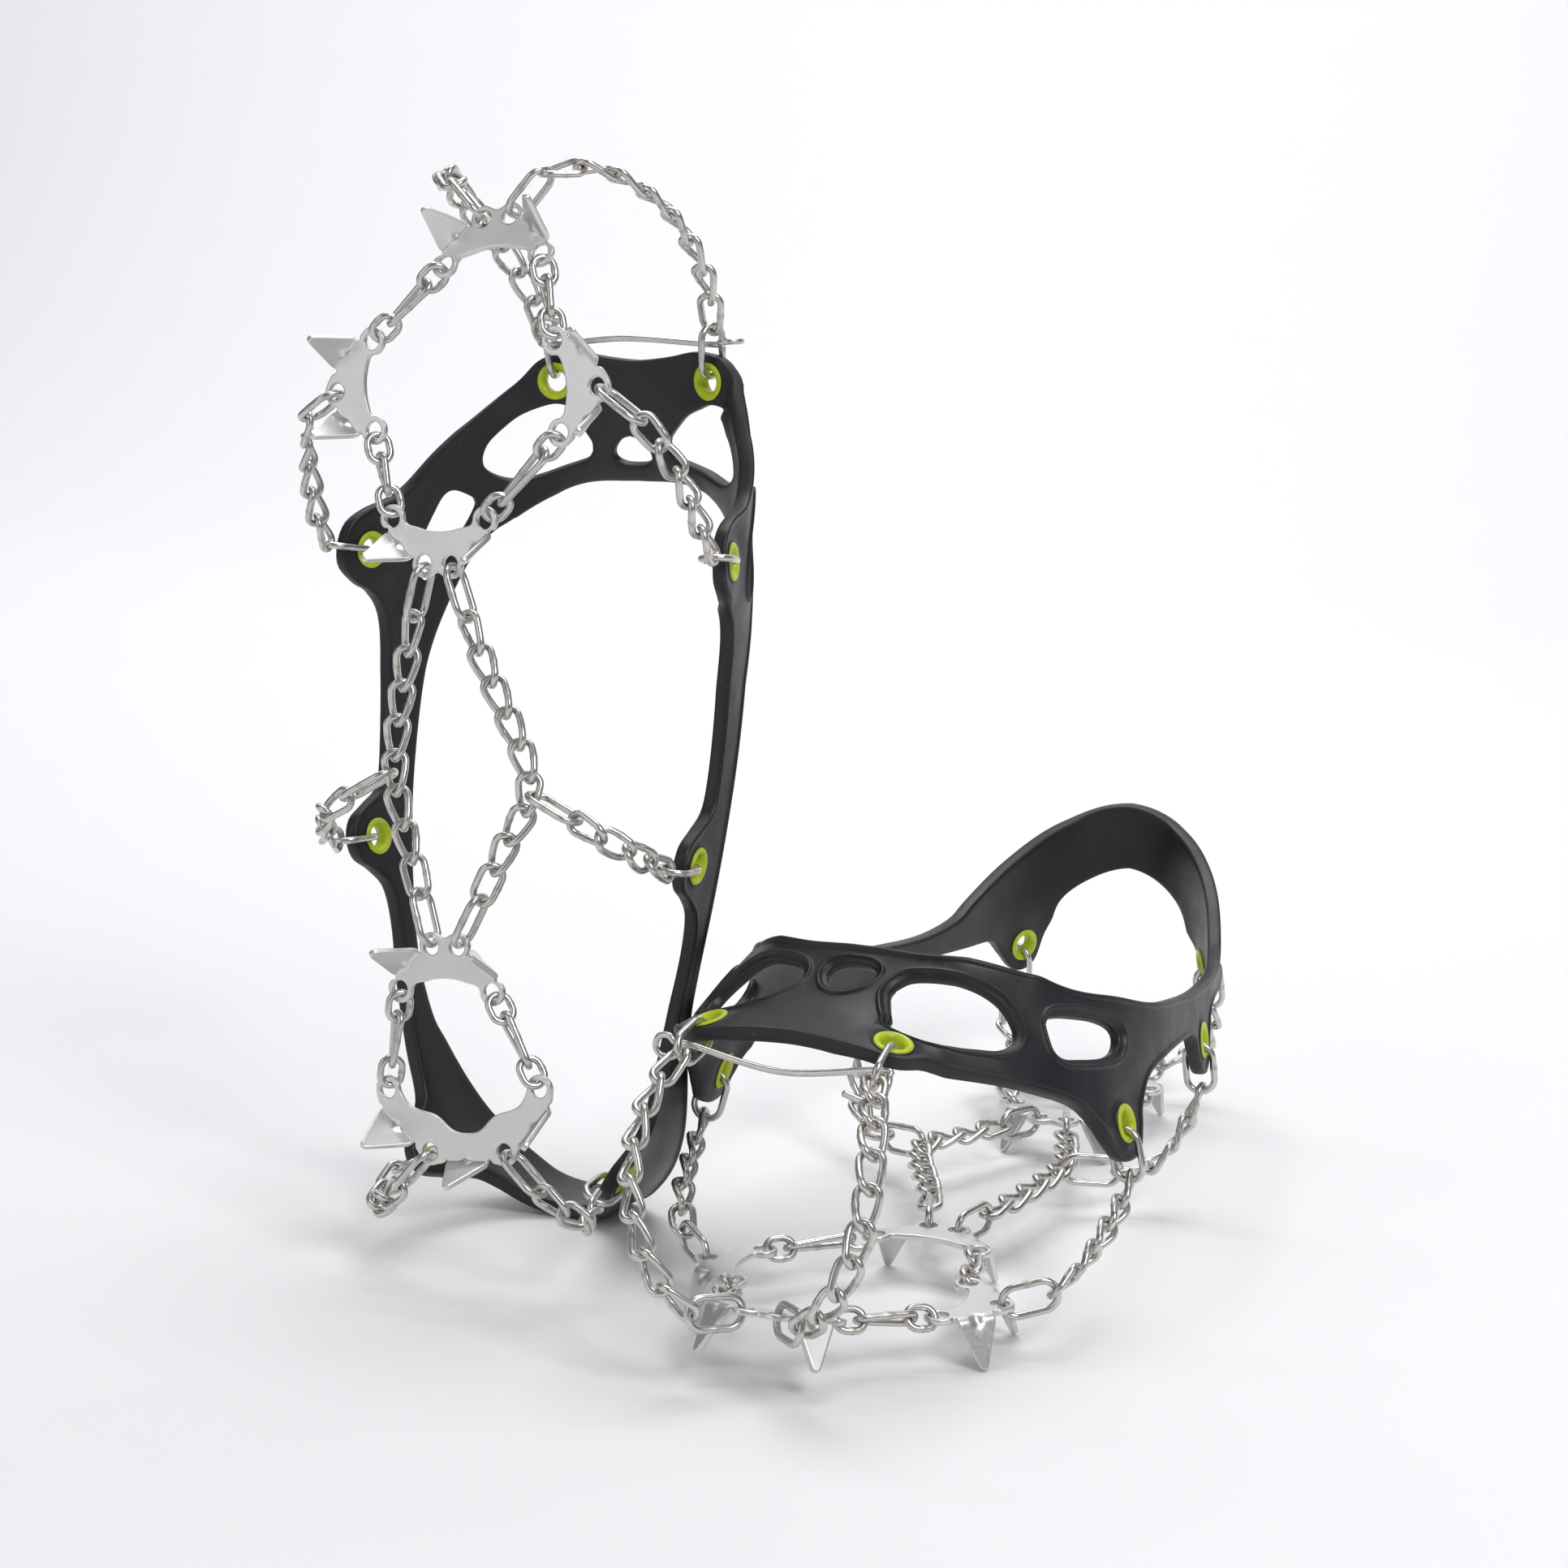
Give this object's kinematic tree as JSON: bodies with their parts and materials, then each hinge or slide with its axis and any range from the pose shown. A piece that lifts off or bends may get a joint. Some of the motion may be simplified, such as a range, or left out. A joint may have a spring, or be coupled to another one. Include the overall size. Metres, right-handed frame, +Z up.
{
  "type": "shoe ice cleats",
  "caption": "Pair of stretch-on shoe ice cleats: black elastomer harness with lime eyelets, steel chains, folded spike plates and a toe bail; one lies on its spikes, one stands on its heel.",
  "frame": {"origin": "middle of the pair's bounding box, on the ground", "axes": "+Z up from the ground; the lying cleat points its toe along -Y and stands on the +X side; the upright cleat stands on its heel on the -X side with its sole facing -Y"},
  "size_m": [0.2518, 0.3005, 0.3049],
  "materials": {
    "elastomer": "satin moulded",
    "lime": "satin moulded",
    "plate_steel": "tumbled stainless",
    "wire_steel": "polished stainless"
  },
  "bodies": {
    "flat_frame": {"flat_eyelet_fore_in": "lime", "flat_eyelet_fore_out": "lime", "flat_eyelet_heel_in": "lime", "flat_eyelet_heel_out": "lime", "flat_eyelet_rear_in": "lime", "flat_eyelet_rear_out": "lime", "flat_eyelet_toe_in": "lime", "flat_eyelet_toe_out": "lime", "flat_harness": "elastomer", "flat_mid_chain_in": "wire_steel", "flat_mid_chain_out": "wire_steel", "flat_tie_ball_in": "wire_steel", "flat_tie_ball_out": "wire_steel", "flat_tie_heel_in": "wire_steel", "flat_tie_heel_out": "wire_steel", "flat_tie_toe_in": "wire_steel", "flat_tie_toe_out": "wire_steel"},
    "flat_toe_plate_body": {"flat_toe_plate": "plate_steel"},
    "flat_side_plate_in_body": {"flat_side_plate_in": "plate_steel"},
    "flat_side_plate_out_body": {"flat_side_plate_out": "plate_steel"},
    "flat_ball_plate_body": {"flat_ball_plate": "plate_steel"},
    "flat_arch_plate_body": {"flat_arch_plate": "plate_steel"},
    "flat_heel_plate_body": {"flat_heel_plate": "plate_steel"},
    "flat_toe_chain_out_body": {"flat_toe_chain_out": "wire_steel"},
    "flat_toe_chain_in_body": {"flat_toe_chain_in": "wire_steel"},
    "flat_fore_chain_out_body": {"flat_fore_chain_out": "wire_steel"},
    "flat_fore_chain_in_body": {"flat_fore_chain_in": "wire_steel"},
    "flat_heel_chain_out_body": {"flat_heel_chain_out": "wire_steel"},
    "flat_heel_chain_in_body": {"flat_heel_chain_in": "wire_steel"},
    "flat_toe_bail_body": {"flat_toe_bail": "wire_steel"},
    "upright_frame": {"upright_eyelet_fore_in": "lime", "upright_eyelet_fore_out": "lime", "upright_eyelet_heel_in": "lime", "upright_eyelet_heel_out": "lime", "upright_eyelet_rear_in": "lime", "upright_eyelet_rear_out": "lime", "upright_eyelet_toe_in": "lime", "upright_eyelet_toe_out": "lime", "upright_harness": "elastomer", "upright_mid_chain_in": "wire_steel", "upright_mid_chain_out": "wire_steel", "upright_tie_ball_in": "wire_steel", "upright_tie_ball_out": "wire_steel", "upright_tie_heel_in": "wire_steel", "upright_tie_heel_out": "wire_steel", "upright_tie_toe_in": "wire_steel", "upright_tie_toe_out": "wire_steel"},
    "upright_toe_plate_body": {"upright_toe_plate": "plate_steel"},
    "upright_side_plate_in_body": {"upright_side_plate_in": "plate_steel"},
    "upright_side_plate_out_body": {"upright_side_plate_out": "plate_steel"},
    "upright_ball_plate_body": {"upright_ball_plate": "plate_steel"},
    "upright_arch_plate_body": {"upright_arch_plate": "plate_steel"},
    "upright_heel_plate_body": {"upright_heel_plate": "plate_steel"},
    "upright_toe_chain_out_body": {"upright_toe_chain_out": "wire_steel"},
    "upright_toe_chain_in_body": {"upright_toe_chain_in": "wire_steel"},
    "upright_fore_chain_out_body": {"upright_fore_chain_out": "wire_steel"},
    "upright_fore_chain_in_body": {"upright_fore_chain_in": "wire_steel"},
    "upright_heel_chain_out_body": {"upright_heel_chain_out": "wire_steel"},
    "upright_heel_chain_in_body": {"upright_heel_chain_in": "wire_steel"},
    "upright_toe_bail_body": {"upright_toe_bail": "wire_steel"}
  },
  "joints": [
    {"name": "flat_toe_plate_rock", "type": "hinge", "parent": "flat_frame", "child": "flat_toe_plate_body", "pos_m": [0.06291, -0.12661, 0.0174], "axis": [-0.9956, -0.0895, 0.029], "range_deg": [-5, 3], "stiffness_Nm_per_rad": 0.5},
    {"name": "flat_side_plate_in_rock", "type": "hinge", "parent": "flat_frame", "child": "flat_side_plate_in_body", "pos_m": [0.08879, -0.10073, 0.0126], "axis": [-0.0523, 0.9986, 0], "range_deg": [-5, 4], "stiffness_Nm_per_rad": 0.5},
    {"name": "flat_side_plate_out_rock", "type": "hinge", "parent": "flat_frame", "child": "flat_side_plate_out_body", "pos_m": [0.02983, -0.10067, 0.0126], "axis": [-0.1132, 0.9936, 0], "range_deg": [-4, 5], "stiffness_Nm_per_rad": 0.5},
    {"name": "flat_ball_plate_rock", "type": "hinge", "parent": "flat_frame", "child": "flat_ball_plate_body", "pos_m": [0.05566, -0.04752, 0.0126], "axis": [1, 0.007, 0], "range_deg": [-5, 5], "stiffness_Nm_per_rad": 0.5},
    {"name": "flat_arch_plate_rock", "type": "hinge", "parent": "flat_frame", "child": "flat_arch_plate_body", "pos_m": [0.06996, 0.07185, 0.0126], "axis": [-0.9976, -0.0698, 0], "range_deg": [-5, 5], "stiffness_Nm_per_rad": 0.5},
    {"name": "flat_heel_plate_rock", "type": "hinge", "parent": "flat_frame", "child": "flat_heel_plate_body", "pos_m": [0.07817, 0.10578, 0.0126], "axis": [-0.9934, -0.1149, 0], "range_deg": [-4, 4], "stiffness_Nm_per_rad": 0.5},
    {"name": "flat_toe_chain_out_swing", "type": "hinge", "parent": "flat_frame", "child": "flat_toe_chain_out_body", "pos_m": [0.04933, -0.13452, 0.01997], "axis": [-0.3706, 0.5131, 0.7742], "range_deg": [-6, 8]},
    {"name": "flat_toe_chain_in_swing", "type": "hinge", "parent": "flat_frame", "child": "flat_toe_chain_in_body", "pos_m": [0.0579, -0.13375, 0.01972], "axis": [0.1946, 0.5331, 0.8234], "range_deg": [-7, 4]},
    {"name": "flat_fore_chain_out_swing", "type": "hinge", "parent": "flat_frame", "child": "flat_fore_chain_out_body", "pos_m": [0.01619, -0.08874, 0.0126], "axis": [-0.2977, 0.7225, 0.624], "range_deg": [-5, 5]},
    {"name": "flat_fore_chain_in_swing", "type": "hinge", "parent": "flat_frame", "child": "flat_fore_chain_in_body", "pos_m": [0.10027, -0.08671, 0.0126], "axis": [0.2854, 0.7109, 0.6427], "range_deg": [-5, 5]},
    {"name": "flat_heel_chain_out_swing", "type": "hinge", "parent": "flat_frame", "child": "flat_heel_chain_out_body", "pos_m": [0.03924, 0.11859, 0.0126], "axis": [-0.3506, 0.2759, 0.8949], "range_deg": [-9, 10]},
    {"name": "flat_heel_chain_in_swing", "type": "hinge", "parent": "flat_frame", "child": "flat_heel_chain_in_body", "pos_m": [0.06348, 0.1214, 0.0126], "axis": [0.5556, 0.1885, 0.8098], "range_deg": [-10, 10]},
    {"name": "flat_toe_bail_swing", "type": "hinge", "parent": "flat_frame", "child": "flat_toe_bail_body", "pos_m": [0.01925, -0.10442, 0.07813], "axis": [1, 0, 0], "range_deg": [-6, 24]},
    {"name": "upright_lift", "type": "slide", "parent": "flat_frame", "child": "upright_frame", "axis": [0, 0, 1], "range_m": [0, 0.35]},
    {"name": "upright_toe_plate_rock", "type": "hinge", "parent": "upright_frame", "child": "upright_toe_plate_body", "pos_m": [-0.06633, -0.06752, 0.28245], "axis": [0.9931, -0.0167, 0.1161], "range_deg": [-3, 5], "stiffness_Nm_per_rad": 0.5},
    {"name": "upright_side_plate_in_rock", "type": "hinge", "parent": "upright_frame", "child": "upright_side_plate_in_body", "pos_m": [-0.09183, -0.07408, 0.25659], "axis": [0.0759, -0.1298, -0.9886], "range_deg": [-4, 5], "stiffness_Nm_per_rad": 0.5},
    {"name": "upright_side_plate_out_rock", "type": "hinge", "parent": "upright_frame", "child": "upright_side_plate_out_body", "pos_m": [-0.033, -0.07746, 0.25836], "axis": [0.1365, -0.1326, -0.9817], "range_deg": [-5, 4], "stiffness_Nm_per_rad": 0.5},
    {"name": "upright_ball_plate_rock", "type": "hinge", "parent": "upright_frame", "child": "upright_ball_plate_body", "pos_m": [-0.05751, -0.08273, 0.20485], "axis": [-0.9977, 0.0562, -0.0381], "range_deg": [-5, 5], "stiffness_Nm_per_rad": 0.5},
    {"name": "upright_arch_plate_rock", "type": "hinge", "parent": "upright_frame", "child": "upright_arch_plate_body", "pos_m": [-0.06895, -0.09707, 0.08604], "axis": [0.9938, -0.0481, 0.1003], "range_deg": [-5, 5], "stiffness_Nm_per_rad": 0.5},
    {"name": "upright_heel_plate_rock", "type": "hinge", "parent": "upright_frame", "child": "upright_heel_plate_body", "pos_m": [-0.07634, -0.10091, 0.05213], "axis": [0.9885, -0.0421, 0.1449], "range_deg": [-4, 4], "stiffness_Nm_per_rad": 0.5},
    {"name": "upright_toe_chain_out_swing", "type": "hinge", "parent": "upright_frame", "child": "upright_toe_chain_out_body", "pos_m": [-0.05282, -0.06475, 0.29039], "axis": [0.4289, 0.6803, -0.5943], "range_deg": [-8, 6]},
    {"name": "upright_toe_chain_in_swing", "type": "hinge", "parent": "upright_frame", "child": "upright_toe_chain_in_body", "pos_m": [-0.06135, -0.0646, 0.28939], "axis": [-0.1316, 0.7588, -0.6379], "range_deg": [-4, 7]},
    {"name": "upright_fore_chain_out_swing", "type": "hinge", "parent": "upright_frame", "child": "upright_fore_chain_out_body", "pos_m": [-0.01911, -0.07975, 0.24695], "axis": [0.352, 0.5092, -0.7854], "range_deg": [-5, 5]},
    {"name": "upright_fore_chain_in_swing", "type": "hinge", "parent": "upright_frame", "child": "upright_fore_chain_in_body", "pos_m": [-0.10296, -0.07521, 0.24233], "axis": [-0.229, 0.5625, -0.7944], "range_deg": [-5, 5]},
    {"name": "upright_heel_chain_out_swing", "type": "hinge", "parent": "upright_frame", "child": "upright_heel_chain_out_body", "pos_m": [-0.03719, -0.10476, 0.04064], "axis": [0.4106, 0.8312, -0.3748], "range_deg": [-10, 9]},
    {"name": "upright_heel_chain_in_swing", "type": "hinge", "parent": "upright_frame", "child": "upright_heel_chain_in_body", "pos_m": [-0.06131, -0.10373, 0.03711], "axis": [-0.5009, 0.8097, -0.3058], "range_deg": [-10, 10]},
    {"name": "upright_toe_bail_swing", "type": "hinge", "parent": "upright_frame", "child": "upright_toe_bail_body", "pos_m": [-0.01855, -0.0127, 0.2542], "axis": [-0.9979, 0.0571, -0.0312], "range_deg": [-24, 6]}
  ]
}
